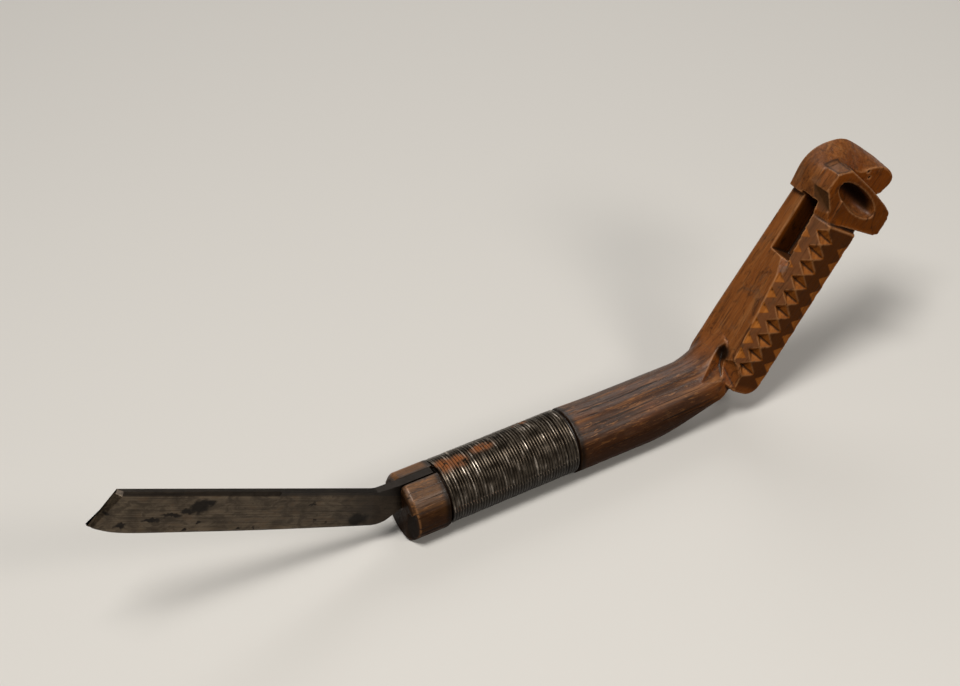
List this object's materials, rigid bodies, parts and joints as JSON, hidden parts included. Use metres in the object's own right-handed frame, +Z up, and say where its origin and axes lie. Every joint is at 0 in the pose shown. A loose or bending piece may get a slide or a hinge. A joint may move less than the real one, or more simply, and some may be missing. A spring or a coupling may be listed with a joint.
{
  "type": "crooked knife",
  "caption": "One-handed draw knife: straight forged blade with a skewed end, its tang let into a carved, bent-up wooden handle and bound with close-wound wire.",
  "frame": {"origin": "under the middle of the whole knife's box, on the table that the shaft's belly stands on", "axes": "+X along the shaft from the blade to the grip, +Y across the knife, +Z up"},
  "size_m": [0.2932, 0.0224, 0.0882],
  "materials": {
    "wood": "hand-worn, waxy, dark brown",
    "blade_steel": "brown patina with stains",
    "wire_steel": "dark iron with rust spots"
  },
  "bodies": {
    "root": {"handle": "wood", "blade": "blade_steel", "binding_wire": "wire_steel"}
  },
  "joints": []
}
